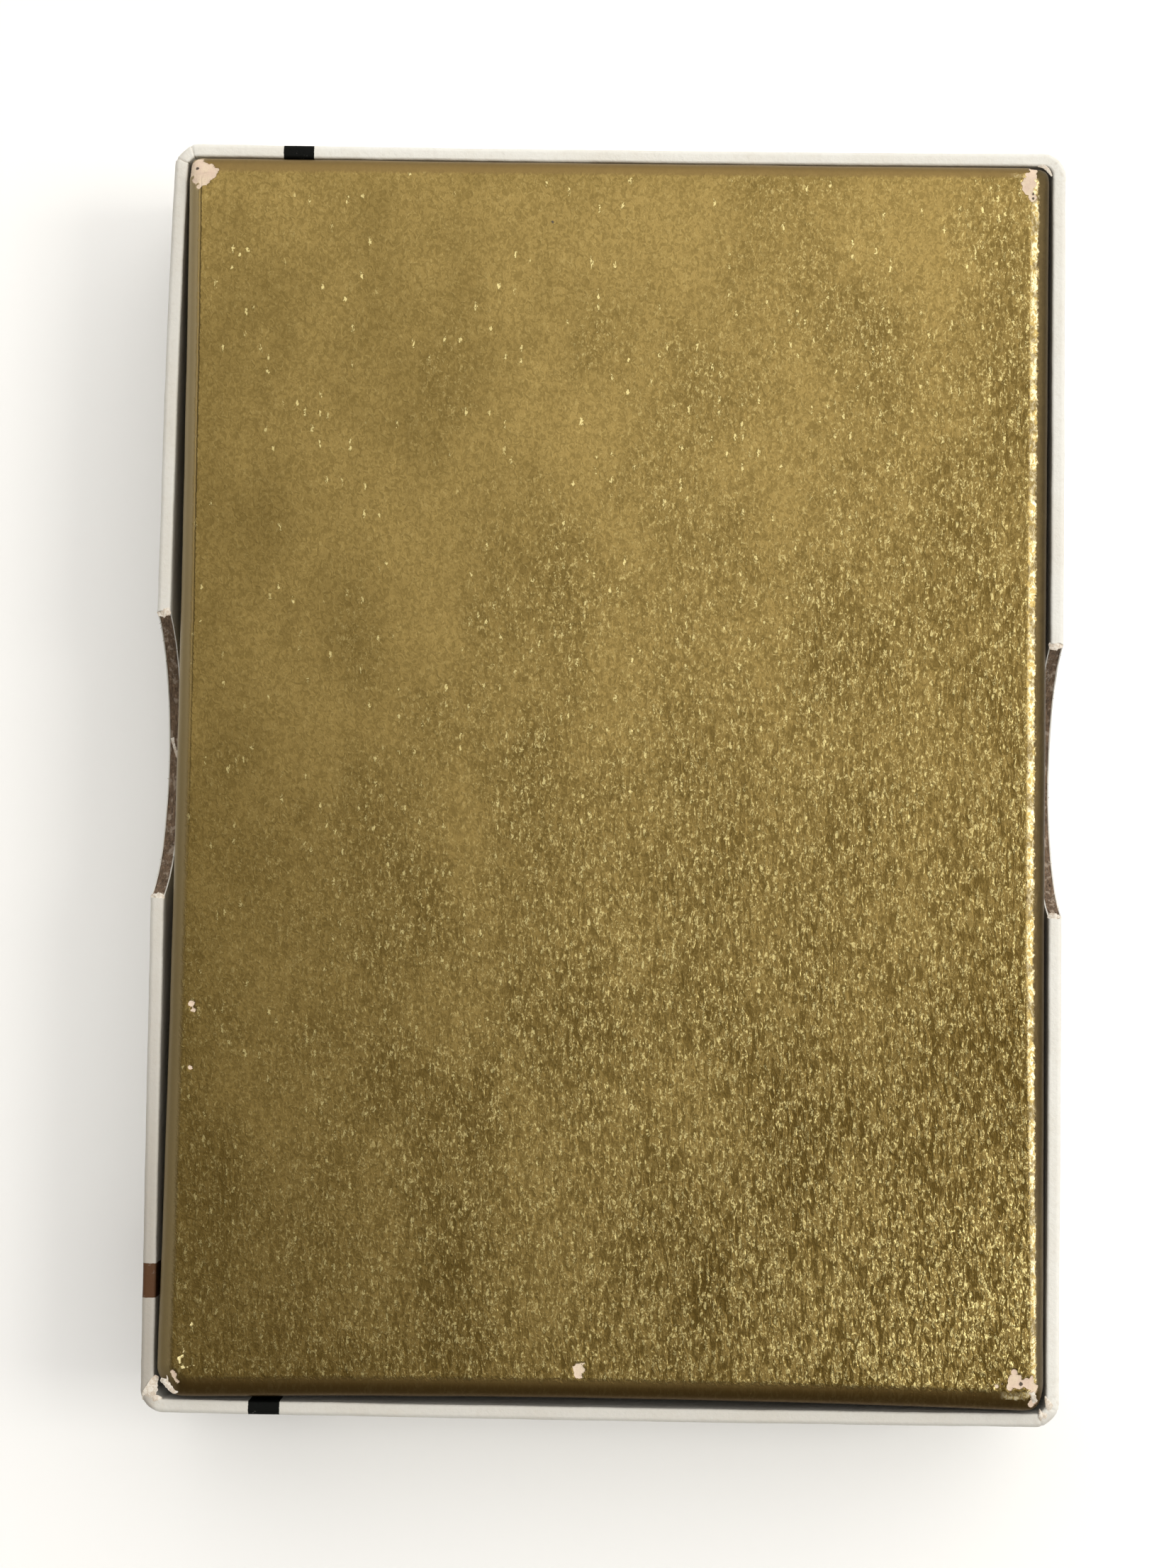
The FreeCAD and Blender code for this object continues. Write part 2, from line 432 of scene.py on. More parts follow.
# Torn strips of paper, as (spine, widths, thickness, raggedness, seed, cupping) in mm
LID_FLAKES = (
    # a sliver that hangs across the left notch
    (((-34.5, 3.0, 11.0), (-34.3, 2.4, 11.4), (-34.05, 1.7, 11.5), (-33.85, 1.0, 11.3)),
     (0.28, 0.2, 0.26, 0.05), 0.05, 0.4, 1.0, 0.0),
    # frayed ends of the rim at both notches
    (((-34.7, 12.25, 18.05), (-34.4, 12.0, 18.2), (-34.05, 12.2, 18.3), (-33.72, 12.05, 18.2)),
     (0.3, 0.55, 0.62, 0.25), 0.05, 0.5, 1.3, 0.03),
    (((-34.68, -9.75, 18.05), (-34.35, -9.6, 18.2), (-34.0, -9.7, 18.3), (-33.7, -9.6, 18.2)),
     (0.3, 0.5, 0.6, 0.25), 0.05, 0.5, 1.5, 0.03),
    (((34.62, 10.75, 18.05), (34.3, 10.55, 18.25), (33.95, 10.5, 18.25), (33.68, 10.7, 18.1)),
     (0.35, 0.7, 0.6, 0.3), 0.05, 0.5, 1.7, 0.03),
    (((34.62, -10.35, 18.05), (34.3, -10.2, 18.25), (33.95, -10.15, 18.2), (33.7, -10.3, 18.1)),
     (0.3, 0.5, 0.55, 0.25), 0.05, 0.5, 1.9, 0.03),
    # the near left corner's paper, torn and folded inwards over the rim
    (((-34.25, -47.75, 18.05), (-34.0, -47.3, 18.34), (-33.75, -46.8, 18.4), (-33.6, -46.3, 18.36),
      (-33.4, -45.9, 18.15)),
     (0.5, 1.0, 0.95, 0.62, 0.3), 0.06, 0.2, 2.0, 0.03),
    (((-33.9, -47.65, 18.2), (-33.45, -47.5, 18.36), (-33.0, -47.55, 18.2)),
     (0.5, 0.46, 0.16), 0.06, 0.3, 3.0, 0.02),
    # folded corners of the paper at the near right corner
    (((33.35, -48.2, 18.15), (33.32, -47.8, 18.39), (33.3, -47.5, 18.36), (33.26, -47.3, 18.2)),
     (0.22, 0.34, 0.26, 0.08), 0.06, 0.2, 4.0, 0.07),
    (((34.2, -47.4, 18.1), (33.98, -47.05, 18.38), (33.82, -46.65, 18.36), (33.68, -46.3, 18.2)),
     (0.5, 0.56, 0.36, 0.08), 0.05, 0.22, 5.0, 0.04),
    (((33.95, -47.95, 18.1), (33.65, -47.75, 18.37), (33.4, -47.55, 18.3)),
     (0.3, 0.42, 0.2), 0.05, 0.25, 5.5, 0.04),
    # roughened rim at the far right corner
    (((32.55, 47.72, 18.2), (32.95, 47.62, 18.4), (33.3, 47.35, 18.4), (33.62, 46.95, 18.2)),
     (0.14, 0.3, 0.3, 0.12), 0.05, 0.3, 6.0, 0.02),
)
TRAY_FLAKES = (
    # the torn flake over the crushed near left corner
    (((-33.0, -46.05, 18.85), (-32.6, -46.2, 19.15), (-32.25, -46.6, 19.18), (-31.95, -46.95, 18.95),
      (-31.55, -46.8, 19.0)),
     (0.28, 0.46, 0.4, 0.28, 0.08), 0.05, 0.35, 7.0, 0.03),
    (((-32.5, -46.15, 19.15), (-32.45, -45.9, 19.22), (-32.5, -45.65, 19.25)),
     (0.18, 0.12, 0.03), 0.04, 0.4, 8.0, 0.0),
    # flakes that hang over the near right corner
    (((32.5, -45.8, 19.45), (32.66, -46.3, 19.28), (32.5, -46.8, 18.9), (32.45, -47.1, 18.7)),
     (0.4, 0.36, 0.4, 0.14), 0.05, 0.35, 9.0, 0.03),
    (((32.72, -46.3, 19.22), (32.85, -46.55, 19.0), (32.95, -46.7, 18.75)),
     (0.22, 0.32, 0.1), 0.05, 0.4, 10.0, 0.02),
)


def inside_by(x, y, places, ragged):
    """How far inside the nearest of some round places a point lies, in mm, with a ragged border."""
    best = max(r - math.hypot(x - px, y - py) for px, py, r in places)
    if best < -1.0:
        return best
    return best + ragged * (
        noise.noise(Vector((x * 3.1, y * 3.1, 0.3))) + 0.5 * noise.noise(Vector((x * 8.3, y * 8.3, 2.9))))


# ---------------------------------------------------------------- paint

def add_node(tree, kind, settings=None, inputs=None):
    """Adds a node to a tree, sets it up, and fills or links its sockets."""
    made = tree.nodes.new(kind)
    for key, value in (settings or {}).items():
        setattr(made, key, value)
    for key, value in (inputs or {}).items():
        if isinstance(value, bpy.types.NodeSocket):
            tree.links.new(value, made.inputs[key])
        else:
            made.inputs[key].default_value = value
    return made


class Signal:
    """A number that changes over a surface: the output of a shader node."""

    def __init__(self, paint, socket):
        self.paint = paint
        self.socket = socket

    def maths(self, operation, *terms):
        return self.paint.node("ShaderNodeMath", {"operation": operation}, dict(enumerate(terms)))

    def __add__(self, other):
        return self.maths("ADD", self, other)

    __radd__ = __add__

    def __sub__(self, other):
        return self.maths("SUBTRACT", self, other)

    def __rsub__(self, other):
        return self.maths("SUBTRACT", other, self)

    def __mul__(self, other):
        return self.maths("MULTIPLY", self, other)

    __rmul__ = __mul__

    def __truediv__(self, other):
        return self.maths("DIVIDE", self, other)

    def __abs__(self):
        return self.maths("ABSOLUTE", self)

    def at_least(self, other):
        return self.maths("MAXIMUM", self, other)

    def at_most(self, other):
        return self.maths("MINIMUM", self, other)

    def between(self, low, high):
        """0 below low, 1 above high, and an even rise from one to the other."""
        return self.paint.node(
            "ShaderNodeMapRange", {"interpolation_type": "SMOOTHSTEP"},
            {"Value": self, "From Min": low, "From Max": high})


class Paint:
    """A material's node tree, and the one method that adds nodes to it."""

    def __init__(self, name):
        self.material = bpy.data.materials.new(name)
        self.material.use_nodes = True
        self.tree = self.material.node_tree
        self.tree.nodes.clear()
        here = self.node("ShaderNodeTexCoord", output="Object")
        self.place = self.node(
            "ShaderNodeVectorMath", {"operation": "SCALE"}, {0: here, "Scale": 1 / MM})

    def node(self, kind, settings=None, inputs=None, output=0):
        """Adds a node whose inputs may be signals, and returns one of its outputs as a signal."""
        inputs = {k: v.socket if isinstance(v, Signal) else v for k, v in (inputs or {}).items()}
        made = add_node(self.tree, kind, settings, inputs)
        return Signal(self, made.outputs[output]) if len(made.outputs) else None

    def axis(self, name):
        return self.node("ShaderNodeSeparateXYZ", None, {0: self.place}, name)

    def value(self, attribute):
        return self.node("ShaderNodeAttribute", {"attribute_name": attribute}, None, "Fac")

    def stretched(self, x, y, z):
        return self.node("ShaderNodeVectorMath", {"operation": "MULTIPLY"}, {0: self.place, 1: (x, y, z)})

    def cloud(self, scale, place=None, detail=2.0, roughness=0.5, distortion=0.0):
        """Soft noise of about 1 / scale mm."""
        return self.node("ShaderNodeTexNoise", {"noise_dimensions": "3D"}, {
            "Vector": place or self.place, "Scale": scale, "Detail": detail,
            "Roughness": roughness, "Distortion": distortion}, "Fac")

    def dashes(self, share, ragged):
        """Short upright dashes: 1 on a dash and 0 beside it, with the given share of places filled."""
        settings = {"voronoi_dimensions": "2D"}
        inputs = {"Vector": self.stretched(1, 0.42, 1), "Scale": 1.7}
        away = self.node("ShaderNodeTexVoronoi", settings, inputs, "Distance")
        chance = self.node("ShaderNodeSeparateColor", None, {
            0: self.node("ShaderNodeTexVoronoi", settings, inputs, "Color")})
        filled = (chance - (1 - share)).between(0.0, 0.03)
        return filled * (1 - (away + (ragged - 0.5) * 1.3).between(0.06, 0.12))

    def blend(self, amount, first, second):
        """A colour between two others."""
        inputs = {0: amount, 6: first, 7: second}
        for key in (6, 7):
            if not isinstance(inputs[key], Signal):
                inputs[key] = (*tuple(inputs[key])[:3], 1.0)
        return self.node("ShaderNodeMix", {"data_type": "RGBA", "clamp_factor": True}, inputs, 2)

    def bump(self, height, reach):
        """A surface normal from a height of 0 to 1 that stands for the given reach in mm."""
        return self.node("ShaderNodeBump", None, {"Height": height, "Distance": reach * MM, "Strength": 1.0})

    def surface(self, **sockets):
        """Ends the tree in one shader."""
        inputs = {key.replace("_", " "): value for key, value in sockets.items()}
        shader = self.node("ShaderNodeBsdfPrincipled", None, inputs)
        self.node("ShaderNodeOutputMaterial", None, {"Surface": shader})
        return self.material


def gold_paper(finish):
    """Metallic gold paper: fibres drawn along the sheet, flecks with painted glints, painted shade over the
    sheet, folds painted with their reflections and shade, a painted highlight on the right crest, and worn
    places.
    """
    paint = Paint("gold_paper")
    x = paint.axis("X")
    y = paint.axis("Y")
    inset = paint.value("inset")
    bare = paint.value("bare")
    scratch = paint.value("scratch")
    hole = paint.value("hole")
    mottle = paint.cloud(0.11, paint.stretched(1, 0.6, 1), 4.0, 0.62)
    drawn = paint.cloud(3.3, paint.stretched(1, 0.30, 1), 2.0, 0.6, 0.9)
    tangle = paint.cloud(2.7, paint.stretched(1, 0.85, 1), 4.0, 0.62, 1.1)
    short = paint.cloud(5.0, paint.stretched(1, 0.6, 1), 2.0, 0.6, 0.9)
    edge_noise = paint.cloud(12.0, None, 2.0, 0.6)
    # partly rubbed wear, partly painted highlight: the fibres stand out and glint more towards the near right
    # of the sheet, where the key light catches them
    rubbed_and_glinting = (x * 0.0100 - y * 0.0085 + 0.36 + (mottle - 0.5) * 1.1).at_least(0.06).at_most(1.0)
    # painted shade: the gold darkens towards the near side and towards both long sides, less so at the far
    # end, and is lighter at the near right corner; the mottle adds random tone
    aside = abs(x) * 0.012 * (1 - y.between(25.0, 48.0) * 0.6)
    bright_corner = x.between(5.0, 30.0) * (1 - y.between(-44.0, -22.0))
    painted_shade = 0.30 - y * 0.0085 + aside - bright_corner * 0.75 + (mottle - 0.5) * 0.8
    painted_shade = painted_shade.at_least(0.0).at_most(1.0)
    flat = (inset + (tangle - 0.5) * 0.4).between(0.72, 1.08)
    # grain: the hollows between the fibres are darker, and the contrast grows towards the near right with the
    # painted glint
    ridge = tangle + (drawn - tangle) * (0.10 + 0.75 * rubbed_and_glinting)
    raised = ridge.between(0.38, 0.60) * (0.35 + 0.65 * rubbed_and_glinting) + (1 - rubbed_and_glinting) * 0.55
    body = paint.blend(raised.at_most(1.0), finish.gold_dark, finish.gold)
    body = paint.blend(mottle.between(0.36, 0.66) * 0.25, body, finish.gold_dark)
    # thin dark lines in the grain, stronger towards the near right with the painted glint
    dark_line = (1 - abs(short - 0.47) / 0.022).at_least(0.0) * (0.05 + 0.65 * rubbed_and_glinting)
    body = paint.blend(dark_line * flat, body, [c * 0.40 for c in finish.gold_dark])
    # painted highlight, partly the paper's own flecks: bright flecks stand for fibres glinting in the key
    # light, more of them towards the near right
    line = (1 - abs(drawn - 0.54) / 0.035).at_least(0.0) * short.between(0.46, 0.55)
    dash = paint.dashes(0.05 + 0.64 * rubbed_and_glinting, short)
    speck = short.between(0.58, 0.62) * ridge.between(0.46, 0.52)
    fleck = ((line * 0.8 + speck) * rubbed_and_glinting + dash * 0.7).at_most(1.0)
    body = paint.blend(fleck * flat * 0.95, body, finish.gold_light)
    # painted shade laid over the grain
    body = paint.blend(painted_shade * 0.62, body, (0.050, 0.029, 0.004))
    # painted reflection and shade on the folds: the left fold pale taupe, paler towards the far end, where it
    # would mirror the lid's lit inner wall; the far fold mid brown; the right fold dark; the near fold
    # darkest, with a bright ragged crest on the right
    left = 1 - x.between(-32.2, -31.4)
    right = x.between(31.4, 32.2)
    near = (1 - y.between(-46.4, -45.2)) * (1 - left * 0.6)
    left_fold_reflection = paint.blend(y.between(-20.0, 45.0), (0.20, 0.148, 0.062), (0.33, 0.258, 0.135))
    fold = paint.blend(left, (0.205, 0.135, 0.046), left_fold_reflection)
    right_fold_shade = paint.blend(y.between(-46.0, -20.0), (0.125, 0.098, 0.060), (0.066, 0.046, 0.020))
    fold = paint.blend(right, fold, right_fold_shade)
    fold = paint.blend(near, fold, (0.088, 0.047, 0.007))
    fold = paint.blend(drawn.between(0.50, 0.66) * near * 0.5, fold, (0.15, 0.10, 0.035))
    body = paint.blend((1 - flat) * 0.84, body, fold)
    # painted shade along the near edge of the panel, next to its fold
    body = paint.blend(near * (1 - inset.between(1.0, 1.9)) * 0.55, body, (0.060, 0.035, 0.008))
    # partly wear, partly painted highlight: a bright ragged crest on the right fold only, where the key light
    # glints
    crest_outer = (inset + (tangle - 0.5) * 0.40).between(0.54, 0.64)
    crest = crest_outer * (1 - (inset + (short - 0.5) * 0.5).between(0.88, 1.0)) * x.between(30.0, 31.0)
    crest = crest * (0.35 + 0.65 * paint.cloud(0.9).between(0.40, 0.52))
    shine = paint.blend(short.between(0.44, 0.58), (0.46, 0.34, 0.12), (0.88, 0.76, 0.47))
    body = paint.blend(crest * 0.85, body, shine)
    # painted shade: a thin dark line in a shallow groove along the left fold, strongest towards the far end
    # and gone before the near end, also sunk in the bump
    groove = (1 - abs(inset + (tangle - 0.5) * 0.15 - 1.02) / 0.10).at_least(0.0)
    groove = groove * (1 - x.between(-31.8, -31.0)) * y.between(-18.0, 24.0)
    body = paint.blend(groove * 0.6, body, (0.07, 0.05, 0.025))
    worn = (bare + (edge_noise - 0.5) * 0.16).between(-0.015, 0.03)
    bright = (scratch + (edge_noise - 0.5) * 0.10).between(-0.02, 0.03)
    dark = (hole + (edge_noise - 0.5) * 0.08).between(-0.02, 0.03)
    body = paint.blend(bright, body, (0.95, 0.82, 0.42))
    core = paint.blend(paint.cloud(1.3).between(0.35, 0.65), finish.bare, (0.76, 0.62, 0.46))
    core = paint.blend(edge_noise.between(0.52, 0.62) * 0.35, core, (0.55, 0.42, 0.31))
    body = paint.blend(worn, body, core)
    # painted shade: small holes are painted near black for the shade inside them; the holes are not cut into
    # the mesh
    body = paint.blend(dark * 0.92, body, (0.035, 0.022, 0.012))
    metal = (1 - worn) * (1 - dark) * (0.95 - (1 - flat) * (0.10 + 0.45 * left))
    rough = 0.40 + 0.06 * (1 - flat) - 0.12 * fleck + 0.45 * worn
    height = (ridge * 0.75 + short * 0.25 + dash * 0.25) * (0.25 + 0.75 * flat) * (1 - worn * 0.75)
    height = height * (0.40 + 0.60 * rubbed_and_glinting) - groove * 0.3
    return paint.surface(
        Base_Color=body, Metallic=metal, Roughness=rough, Normal=paint.bump(height, 0.105))


def white_paper(finish):
    """Coated white paper with a printed black and a printed brown line, yellowed and dirty at its corners,
    with painted shade on the rim and brown lines of dirt and painted shade in the corner creases.
    """
    paint = Paint("white_paper")
    x = paint.axis("X")
    y = paint.axis("Y")
    crease = paint.value("crease")
    fine = paint.cloud(9.0, None, 2.0, 0.6)
    speckle = paint.cloud(2.6, None, 3.0, 0.6)
    grain = paint.cloud(3.4, None, 3.0, 0.65)
    wander = (paint.cloud(0.9) - 0.5) * 0.08 + (fine - 0.5) * 0.10
    aside = abs(x - (y * 0.0071 - 24.92) + wander)
    black = 1 - aside.between(1.16, 1.20)
    beside = abs(y + 38.72 + wander)
    brown = (1 - beside.between(1.28, 1.32)) * (1 - x.between(-25.6, -25.5))
    tone = paint.cloud(0.14, None, 4.0, 0.65)
    corner = (abs(x) / 34.8).at_most(1.0) * (abs(y) / 48.75).at_most(1.0)
    dirt = (corner.between(0.90, 1.0) * 0.65 + 0.20) * speckle.between(0.48, 0.72)
    sheet = paint.blend(tone.between(0.38, 0.66) * 0.30, finish.white, (0.70, 0.655, 0.565))
    # painted shade: the rim is greyed along the left side, most towards the near end, and lightly along the
    # near side
    rim = paint.axis("Z").between(17.4, 18.1)
    shade = (1 - x.between(-34.2, -33.0) * 0.75) * (0.85 - 0.60 * y.between(-44.0, 0.0))
    shade = (shade * (1 - x.between(-33.6, -33.0))).at_least((1 - y.between(-47.9, -47.0)) * 0.30)
    sheet = paint.blend(shade * rim, sheet, (0.36, 0.325, 0.28))
    sheet = paint.blend(dirt * 0.55, sheet, finish.grime)
    # partly dirt, partly painted shade: thin brown lines in the corner creases
    sheet = paint.blend(crease.between(0.35, 0.95) * 0.75, sheet, (0.36, 0.25, 0.18))
    scuff = paint.cloud(1.5, None, 4.0, 0.7).between(0.64, 0.72)
    ink = paint.blend(brown * (1 - scuff * 0.45), sheet, finish.brown)
    ink = paint.blend(black * (1 - scuff * 0.10), ink, finish.black)
    wave = paint.cloud(0.7, paint.stretched(1, 0.6, 0.8), 3.0, 0.6)
    height = 0.40 * grain + 0.60 * wave
    rough = 0.34 + 0.20 * grain + 0.25 * dirt + 0.22 * black
    return paint.surface(
        Base_Color=ink, Roughness=rough, Normal=paint.bump(height, 0.10), Specular_IOR_Level=0.08)


def raw_board(finish):
    """Chipboard: pressed grey-brown fibres in thin layers, with darker and paler scraps in it."""
    paint = Paint("raw_board")
    layers = paint.cloud(2.4, paint.stretched(3.0, 0.35, 1.2), 3.0, 0.7, 0.4)
    scraps = paint.cloud(5.5, None, 3.0, 0.65, 0.6)
    pale = paint.cloud(2.2, paint.stretched(1, 0.5, 1), 2.0, 0.6)
    body = paint.blend(layers.between(0.32, 0.66), [c * 0.42 for c in finish.board], finish.board)
    body = paint.blend(scraps.between(0.56, 0.70) * 0.55, body, [min(1, c * 1.9) for c in finish.board])
    body = paint.blend(pale.between(0.53, 0.66) * 0.65, body, (0.46, 0.38, 0.30))
    body = paint.blend((1 - scraps.between(0.30, 0.42)) * 0.6, body, (0.055, 0.038, 0.028))
    height = 0.6 * layers + 0.4 * scraps
    return paint.surface(Base_Color=body, Roughness=0.88, Normal=paint.bump(height, 0.09))


def kraft_paper(finish):
    """Brown gummed paper with fibres along its length."""
    paint = Paint("kraft_paper")
    threads = paint.cloud(2.2, paint.stretched(1, 1, 0.2), 3.0, 0.6)
    body = paint.blend(threads.between(0.3, 0.7), [c * 0.6 for c in finish.stay], finish.stay)
    return paint.surface(Base_Color=body, Roughness=0.62, Normal=paint.bump(threads, 0.02))


def torn_paper(finish):
    """The torn core of a cover paper: cream and softly fibrous, dirtier in its hollows."""
    paint = Paint("torn_paper")
    threads = paint.cloud(5.0, None, 3.0, 0.6, 0.8)
    stain = paint.cloud(1.4, None, 3.0, 0.6)
    body = paint.blend(threads.between(0.36, 0.60), (0.60, 0.51, 0.41), (0.80, 0.745, 0.66))
    body = paint.blend(stain.between(0.50, 0.68) * 0.55, body, (0.56, 0.43, 0.31))
    return paint.surface(Base_Color=body, Roughness=0.6, Normal=paint.bump(threads, 0.025))


def floor_paint(colour_of_floor):
    """A matt pale floor with a barely visible tone in it."""
    paint = Paint("floor")
    tone = paint.cloud(0.01, None, 2.0, 0.5)
    body = paint.blend(tone * 0.05, colour_of_floor, [c * 0.9 for c in colour_of_floor])
    return paint.surface(Base_Color=body, Roughness=0.85)


FINISHES = {
    "gold_paper": gold_paper,
    "white_paper": white_paper,
    "raw_board": raw_board,
    "kraft_paper": kraft_paper,
    "torn_paper": torn_paper,
}


def painted(name):
    """The material of that name, made the first time it is asked for."""
    if name not in bpy.data.materials:
        FINISHES[name](bpy.context.scene.card_box_finish)
    return bpy.data.materials[name]


# ---------------------------------------------------------------- pieces

def wrapped(half, outline, rows, outside, labels, shaped):
    """Points, faces and values of a cover paper: its section carried round the outline."""
    points = []
    values = {label: [] for label in labels}
    for index, (inset, depth) in enumerate(rows):
        lean = outward(rows, index)
        for mark in outline.marks:
            x, y = outline.spot(mark, inset, depth)
            point = half.settle(Vector((x, y, half.z_at(depth))))
            marks = {}
            if index < outside:
                offset, marks = shaped(mark, inset, depth, point)
                x, y = outline.spot(mark, inset + lean[0] * offset, depth)
                point = half.settle(Vector((x, y, half.z_at(depth + lean[1] * offset))))
            points.append(point)
            for label in labels:
                values[label].append(marks.get(label, -9.0))
    return points, ringed(len(rows), len(outline.marks)), values


def settled_copy(node, half, step=5.0):
    """A copy of a CAD node's mesh, cut into strips so that it can follow the settled walls."""
    bm = bmesh.new()
    bm.from_mesh(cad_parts[node].data)
    bmesh.ops.remove_doubles(bm, verts=bm.verts[:], dist=0.001 * MM)
    low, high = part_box(node)
    for axis in (0, 1):
        place = math.ceil(low[axis] / MM / step) * step
        while place < high[axis] / MM:
            spot = Vector((0, 0, 0))
            spot[axis] = place * MM
            face = Vector((0, 0, 0))
            face[axis] = 1
            everything = bm.verts[:] + bm.edges[:] + bm.faces[:]
            bmesh.ops.bisect_plane(bm, geom=everything, plane_co=spot, plane_no=face, dist=1e-7)
            place += step
    for vertex in bm.verts:
        vertex.co = half.settle(vertex.co / MM) * MM
    mesh = bpy.data.meshes.new(node + "_settled")
    bm.to_mesh(mesh)
    bm.free()
    return mesh


def punch(half, notch, sign, slack, seed):
    """The rough solid that a notch's punch sweeps, so that the cut it leaves is ragged."""
    around = 220
    stations = [28.0] + [32.9 + 0.16 * i for i in range(16)] + [40.0]
    size, shift = notch.side(sign)
    centre_z = half.height - notch.depth + size
    points = []
    for reach in stations:
        for i in range(around):
            angle = 2 * math.pi * i / around
            rough = noise.noise(Vector((angle * 9, reach * 2.2, seed))) + 0.6 * noise.noise(
                Vector((angle * 34, reach * 6.0, seed + 4)))
            radius = size + slack + notch.rough * rough
            y = shift + radius * math.sin(angle)
            points.append((sign * reach, y, centre_z - radius * math.cos(angle)))
    faces = ringed(len(stations), around)
    faces.append(tuple(range(around)))
    last = (len(stations) - 1) * around
    faces.append(tuple(last + i for i in range(around)))
    return closed_mesh("punch", points, faces)


def punches(half, notch, slack, seed):
    """Both notches' punches."""
    return [punch(half, notch, -1, slack, seed), punch(half, notch, 1, slack, seed + 11)]


def ribbon(spine, widths, thickness, ragged, seed, cup, steps=26, across=6):
    """A closed torn strip of paper along a bent spine, with ragged borders. Sizes are in mm."""
    spine = [Vector(p) for p in spine]
    points = []
    sides = []
    for step in range(steps + 1):
        t = step / steps * (len(spine) - 1)
        k = min(int(t), len(spine) - 2)
        u = t - k
        before = spine[max(0, k - 1)]
        after = spine[min(len(spine) - 1, k + 2)]
        a, b = spine[k], spine[k + 1]
        place = 0.5 * ((2 * a) + (b - before) * u + (2 * before - 5 * a + 4 * b - after) * u * u
                       + (3 * a - before - 3 * b + after) * u ** 3)
        run = (b - a).normalized()
        sideways = run.cross(Vector((0, 0, 1)))
        if sideways.length < 0.2:
            sideways = run.cross(Vector((0, 1, 0)))
        sideways.normalize()
        up = sideways.cross(run).normalized()
        width = widths[k] * (1 - u) + widths[k + 1] * u
        sides.append((place, sideways, up, width))
    for layer in (0, 1):
        for step, (place, sideways, up, width) in enumerate(sides):
            for i in range(across + 1):
                v = 2 * i / across - 1
                torn = 1 + ragged * noise.noise(Vector((step * 0.55, 3.0 * (1 if v > 0 else -1), seed)))
                point = place + sideways * (v * width / 2 * torn)
                wave = 0.05 * noise.noise(point * 1.9 + Vector((0, 0, seed)))
                point = point + up * (cup * (1 - v * v) + wave + (thickness if layer else 0.0))
                points.append(point)
    row = across + 1
    size = row * (steps + 1)
    faces = []
    for step in range(steps):
        for i in range(across):
            a = step * row + i
            quad = (a, a + 1, a + row + 1, a + row)
            faces.append(quad)
            faces.append(tuple(size + q for q in reversed(quad)))
        for edge in (0, across):
            a = step * row + edge
            faces.append((a, a + row, size + a + row, size + a))
    for step in (0, steps):
        for i in range(across):
            a = step * row + i
            faces.append((a, a + 1, size + a + 1, size + a))
    return points, faces


def joined(parts):
    """Several sets of points and faces as one."""
    points = []
    faces = []
    for some_points, some_faces in parts:
        start = len(points)
        points += list(some_points)
        faces += [tuple(start + i for i in face) for face in some_faces]
    return points, faces


